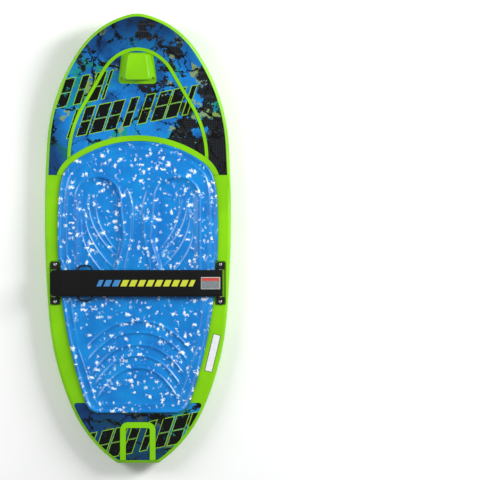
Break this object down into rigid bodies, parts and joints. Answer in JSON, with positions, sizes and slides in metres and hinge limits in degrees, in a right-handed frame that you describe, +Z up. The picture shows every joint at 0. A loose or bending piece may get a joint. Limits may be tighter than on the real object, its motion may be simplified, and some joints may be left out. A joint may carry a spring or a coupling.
{
  "type": "kneeboard",
  "caption": "Foam-filled kneeboard with a contoured knee pad, a moulded tow hook, a lifting grip under the tail and a padded thigh strap that locks on a ring.",
  "frame": {"origin": "on the floor below the middle of the board's box", "axes": "+X to the rider's right, +Y towards the nose, +Z up out of the deck"},
  "size_m": [0.528, 1.27, 0.124],
  "materials": {
    "shell_plastic": "satin moulded polyethylene",
    "foam": "cut polyurethane foam",
    "plug_plastic": "moulded",
    "pad_foam": "moulded EVA foam with light speckles",
    "graphic_film": "moulded-in printed film",
    "label_film": "silvered sticker",
    "woven_label": "woven label",
    "strap_fabric": "woven polyester",
    "neoprene": "nylon-faced neoprene",
    "webbing": "woven nylon webbing",
    "hook_tape": "hook tape",
    "loop_tape": "loop tape",
    "ring_plastic": "moulded nylon",
    "anchor_plastic": "moulded nylon",
    "stainless": "passivated stainless steel",
    "brass": "turned brass"
  },
  "bodies": {
    "board": {"board_shell": "shell_plastic", "foam_core": "foam", "foam_fill_plugs": "plug_plastic", "knee_pad": "pad_foam", "nose_rim_film": "graphic_film", "nose_center_film": "graphic_film", "tail_film": "graphic_film", "tail_grip_film": "graphic_film", "side_label": "label_film", "left_anchor_feet": "anchor_plastic", "left_anchor_pin": "stainless", "left_anchor_screws": "stainless", "left_anchor_inserts": "brass", "right_anchor_feet": "anchor_plastic", "right_anchor_pin": "stainless", "right_anchor_screws": "stainless", "right_anchor_inserts": "brass"},
    "thigh_strap": {"strap_webbing": "webbing", "strap_cover": "strap_fabric", "strap_padding": "neoprene", "flap_hook_patch": "hook_tape", "strap_label": "woven_label"},
    "tab": {"ring_tab": "webbing"},
    "ring": {"strap_ring": "ring_plastic"},
    "lock": {"lock_strap": "webbing", "lock_loop_patch": "loop_tape"}
  },
  "joints": [
    {"name": "strap_swing", "type": "hinge", "parent": "board", "child": "thigh_strap", "pos_m": [0.234, -0.125, 0.069], "axis": [0, 1, 0], "range_deg": [0, 150]},
    {"name": "tab_swing", "type": "hinge", "parent": "board", "child": "tab", "pos_m": [-0.234, -0.125, 0.069], "axis": [0, -1, 0], "range_deg": [0, 30]},
    {"name": "ring_swing", "type": "hinge", "parent": "tab", "child": "ring", "pos_m": [-0.1685, -0.125, 0.077], "axis": [0, -1, 0], "range_deg": [0, 22.5]},
    {"name": "lock_swing", "type": "hinge", "parent": "ring", "child": "lock", "pos_m": [-0.1295, -0.125, 0.077], "axis": [0, -1, 0], "range_deg": [0, 30]}
  ],
  "couplings": [
    {"joint": "tab_swing", "follows": "strap_swing", "ratio": 0.2},
    {"joint": "ring_swing", "follows": "strap_swing", "ratio": 0.15},
    {"joint": "lock_swing", "follows": "strap_swing", "ratio": 0.2}
  ]
}
